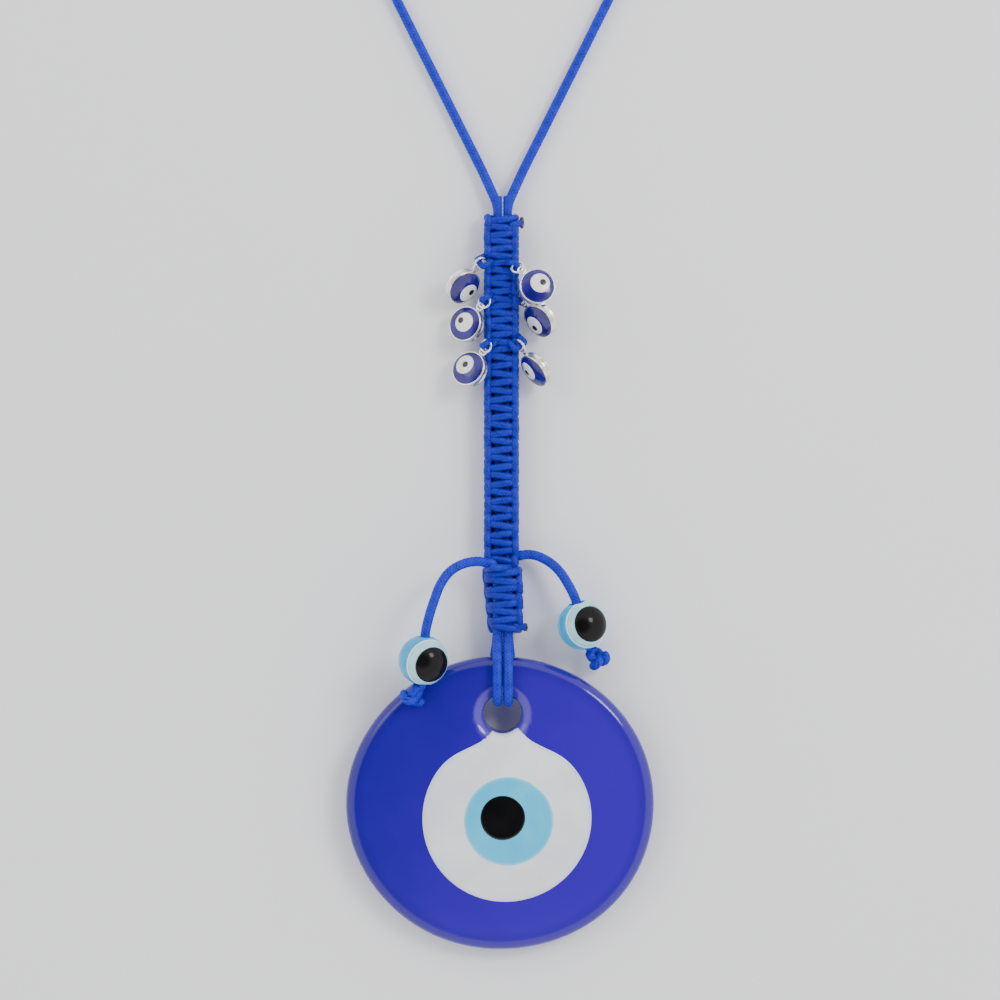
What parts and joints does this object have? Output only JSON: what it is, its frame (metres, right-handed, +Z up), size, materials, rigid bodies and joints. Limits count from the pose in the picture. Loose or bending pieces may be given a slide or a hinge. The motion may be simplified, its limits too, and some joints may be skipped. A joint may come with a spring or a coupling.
{
  "type": "evil eye wall hanging",
  "caption": "Blue glass eye disc hung on a doubled cord below a square-knot braid with small metal eye charms, two beaded cord tails and a hanging loop.",
  "frame": {"origin": "centre of the underside of the braid and disc, as the hanging lies on its back: midway between the braid's top end and the disc's bottom edge, at the height of the surface", "axes": "+Y from the disc towards the hanging loop, +Z up out of the face, +X to the right as the face is looked at"},
  "size_m": [0.07, 0.2665, 0.0176],
  "materials": {
    "braided_cord": "waxed braid, slight sheen",
    "knotting_cord": "waxed braid, slight sheen",
    "melted_cord": "scorched, uneven",
    "cobalt_glass": "fire-polished",
    "white_glass": "fire-polished",
    "light_blue_glass": "fire-polished",
    "black_glass": "fire-polished",
    "silver_metal": "bright plated",
    "navy_enamel": "glossy",
    "white_enamel": "glossy",
    "black_enamel": "glossy",
    "turquoise_resin": "glossy",
    "white_resin": "glossy",
    "aqua_resin": "glossy, slightly clear",
    "black_resin": "glossy"
  },
  "bodies": {
    "braid": {"core_strands": "braided_cord", "front_knot_cord": "knotting_cord", "back_knot_cord": "knotting_cord", "lower_knot_cord": "knotting_cord", "melted_end_top": "melted_cord", "melted_end_bottom": "melted_cord"},
    "loop": {"hanging_loop": "braided_cord"},
    "sling": {"sling_left": "braided_cord", "sling_right": "braided_cord"},
    "disc": {"glass_disc": "cobalt_glass", "white_glass": "white_glass", "light_blue_glass": "light_blue_glass", "black_glass": "black_glass"},
    "tail_left": {"tail_cord_left": "braided_cord", "tail_knot_left": "braided_cord"},
    "tail_right": {"tail_cord_right": "braided_cord", "tail_knot_right": "braided_cord"},
    "bead_left": {"bead_left_body": "turquoise_resin", "bead_left_white": "white_resin", "bead_left_aqua": "aqua_resin", "bead_left_pupil": "black_resin"},
    "bead_right": {"bead_right_body": "turquoise_resin", "bead_right_white": "white_resin", "bead_right_aqua": "aqua_resin", "bead_right_pupil": "black_resin"},
    "ring_upper_left": {"jump_ring_upper_left": "silver_metal"},
    "charm_upper_left": {"band_upper_left": "silver_metal", "enamel_upper_left": "navy_enamel", "white_upper_left": "white_enamel", "pupil_upper_left": "black_enamel"},
    "ring_upper_right": {"jump_ring_upper_right": "silver_metal"},
    "charm_upper_right": {"band_upper_right": "silver_metal", "enamel_upper_right": "navy_enamel", "white_upper_right": "white_enamel", "pupil_upper_right": "black_enamel"},
    "ring_middle_left": {"jump_ring_middle_left": "silver_metal"},
    "charm_middle_left": {"band_middle_left": "silver_metal", "enamel_middle_left": "navy_enamel", "white_middle_left": "white_enamel", "pupil_middle_left": "black_enamel"},
    "ring_middle_right": {"jump_ring_middle_right": "silver_metal"},
    "charm_middle_right": {"band_middle_right": "silver_metal", "enamel_middle_right": "navy_enamel", "white_middle_right": "white_enamel", "pupil_middle_right": "black_enamel"},
    "ring_lower_left": {"jump_ring_lower_left": "silver_metal"},
    "charm_lower_left": {"band_lower_left": "silver_metal", "enamel_lower_left": "navy_enamel", "white_lower_left": "white_enamel", "pupil_lower_left": "black_enamel"},
    "ring_lower_right": {"jump_ring_lower_right": "silver_metal"},
    "charm_lower_right": {"band_lower_right": "silver_metal", "enamel_lower_right": "navy_enamel", "white_lower_right": "white_enamel", "pupil_lower_right": "black_enamel"}
  },
  "joints": [
    {"name": "loop_lift", "type": "hinge", "parent": "braid", "child": "loop", "pos_m": [0.00045, 0.084, 0.00373], "axis": [1, 0, 0], "range_deg": [0, 75]},
    {"name": "sling_lift", "type": "hinge", "parent": "braid", "child": "sling", "pos_m": [0.0005, -0.0117, 0.0066], "axis": [-1, 0, 0], "range_deg": [0, 60]},
    {"name": "disc_turn", "type": "hinge", "parent": "sling", "child": "disc", "pos_m": [0.0005, -0.02715, 0.0055], "axis": [0, -0.0523, 0.9986], "range_deg": [-4, 4]},
    {"name": "tail_left_lift", "type": "hinge", "parent": "braid", "child": "tail_left", "pos_m": [-0.0011, 0.0057, 0.0066], "axis": [-1, 0, 0], "range_deg": [0, 60]},
    {"name": "tail_right_lift", "type": "hinge", "parent": "braid", "child": "tail_right", "pos_m": [0.0043, 0.0057, 0.0037], "axis": [-0.3, -0.9539, 0], "range_deg": [0, 60]},
    {"name": "bead_left_spin", "type": "hinge", "parent": "tail_left", "child": "bead_left", "pos_m": [-0.0174, -0.0177, 0.012], "axis": [-0.0725, -0.9967, -0.0362], "continuous": true},
    {"name": "bead_right_spin", "type": "hinge", "parent": "tail_right", "child": "bead_right", "pos_m": [0.0186, -0.01, 0.00575], "axis": [0.2592, -0.9571, -0.1296], "continuous": true},
    {"name": "ring_swing_upper_left", "type": "hinge", "parent": "braid", "child": "ring_upper_left", "pos_m": [-0.00465, 0.07212, 0.00533], "axis": [0.4861, -0.5505, 0.6787], "range_deg": [-12, 5]},
    {"name": "charm_tilt_upper_left", "type": "hinge", "parent": "ring_upper_left", "child": "charm_upper_left", "pos_m": [-0.00552, 0.07105, 0.00508], "axis": [-0.6176, 0.3331, 0.7125], "range_deg": [-15, 3]},
    {"name": "ring_swing_upper_right", "type": "hinge", "parent": "braid", "child": "ring_upper_right", "pos_m": [0.00385, 0.07116, 0.00634], "axis": [-0.2025, 0.568, 0.7978], "range_deg": [-4, 15]},
    {"name": "charm_tilt_upper_right", "type": "hinge", "parent": "ring_upper_right", "child": "charm_upper_right", "pos_m": [0.00477, 0.07043, 0.0071], "axis": [-0.7276, -0.6325, 0.2656], "range_deg": [0, 30]},
    {"name": "ring_swing_middle_left", "type": "hinge", "parent": "braid", "child": "ring_middle_left", "pos_m": [-0.0037, 0.0634, 0.0053], "axis": [-0.4214, 0.2727, 0.8649], "range_deg": [-2, 6]},
    {"name": "charm_tilt_middle_left", "type": "hinge", "parent": "ring_middle_left", "child": "charm_middle_left", "pos_m": [-0.0046, 0.06234, 0.0052], "axis": [-0.6383, 0.5883, -0.4965], "range_deg": [-8, 30]},
    {"name": "ring_swing_middle_right", "type": "hinge", "parent": "braid", "child": "ring_middle_right", "pos_m": [0.00452, 0.0641, 0.00326], "axis": [-0.6377, -0.4713, 0.6093], "range_deg": [-12, 0]},
    {"name": "charm_tilt_middle_right", "type": "hinge", "parent": "ring_middle_right", "child": "charm_middle_right", "pos_m": [0.00546, 0.06308, 0.00346], "axis": [-0.377, -0.4989, -0.7804], "range_deg": [-12, 12]},
    {"name": "ring_swing_lower_left", "type": "hinge", "parent": "braid", "child": "ring_lower_left", "pos_m": [-0.00332, 0.05336, 0.00539], "axis": [-0.6092, 0.0191, 0.7928], "range_deg": [-12, 12]},
    {"name": "charm_tilt_lower_left", "type": "hinge", "parent": "ring_lower_left", "child": "charm_lower_left", "pos_m": [-0.0039, 0.05217, 0.00497], "axis": [-0.6735, 0.5153, -0.5299], "range_deg": [-5, 30]},
    {"name": "ring_swing_lower_right", "type": "hinge", "parent": "braid", "child": "ring_lower_right", "pos_m": [0.00443, 0.05346, 0.00549], "axis": [-0.7302, -0.5145, 0.4495], "range_deg": [-3, 15]},
    {"name": "charm_tilt_lower_right", "type": "hinge", "parent": "ring_lower_right", "child": "charm_lower_right", "pos_m": [0.00517, 0.05228, 0.00535], "axis": [-0.4309, -0.1637, -0.8874], "range_deg": [-12, 5]}
  ],
  "couplings": [
    {"joint": "tail_left_lift", "follows": "sling_lift", "ratio": 1}
  ]
}
